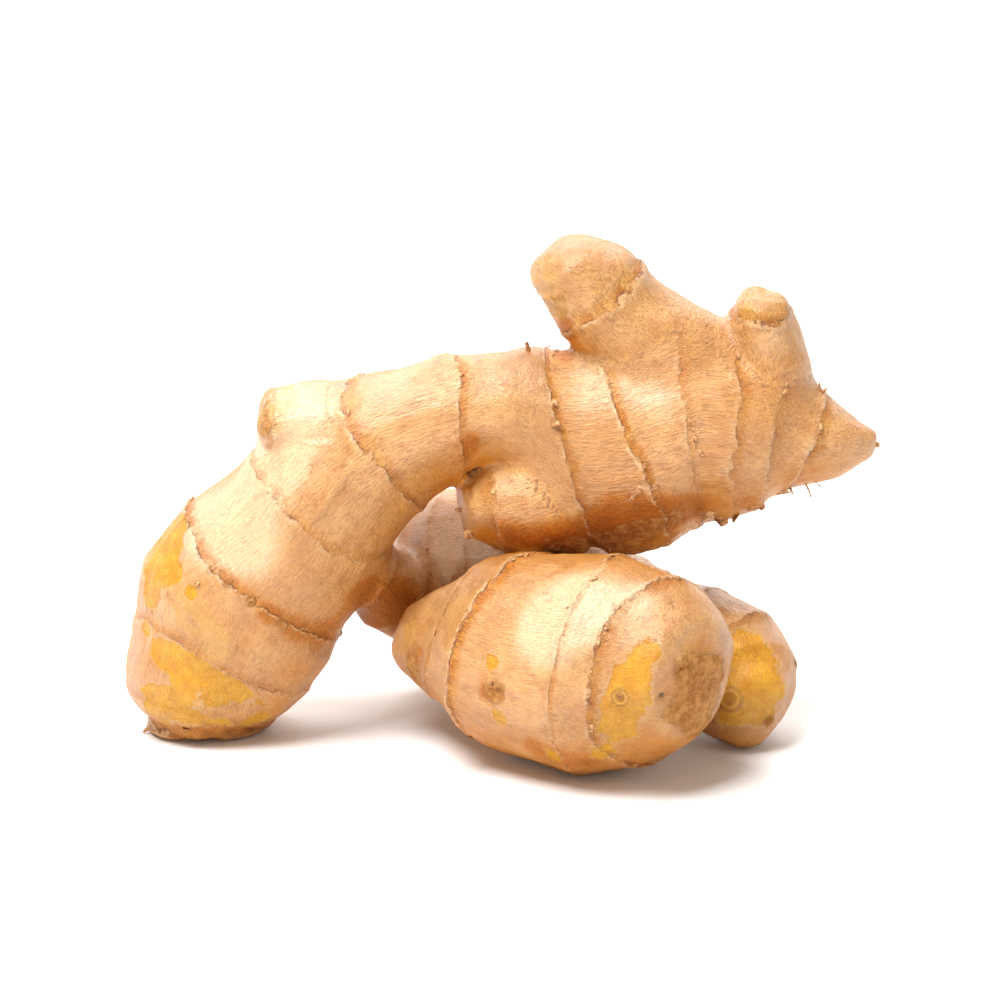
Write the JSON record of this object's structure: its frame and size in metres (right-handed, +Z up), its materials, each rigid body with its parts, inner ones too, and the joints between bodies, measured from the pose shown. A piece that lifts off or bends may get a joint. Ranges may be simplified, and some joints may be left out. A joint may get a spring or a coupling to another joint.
{
  "type": "ginger root",
  "caption": "Fresh ginger rhizome: a ringed leg arches into a broad fingered body above low rounded side lobes, standing on small flat spots.",
  "frame": {"origin": "on the surface the root rests on, under the middle of its bounding box", "axes": "+X from the standing leg towards the body's pointed tip, -Y towards the side seen in the picture, +Z up"},
  "size_m": [0.166, 0.0966, 0.1121],
  "materials": {
    "rhizome": "thin dry skin, matt to slightly satin, over moist flesh"
  },
  "bodies": {
    "root": {"rhizome": "rhizome"}
  },
  "joints": []
}
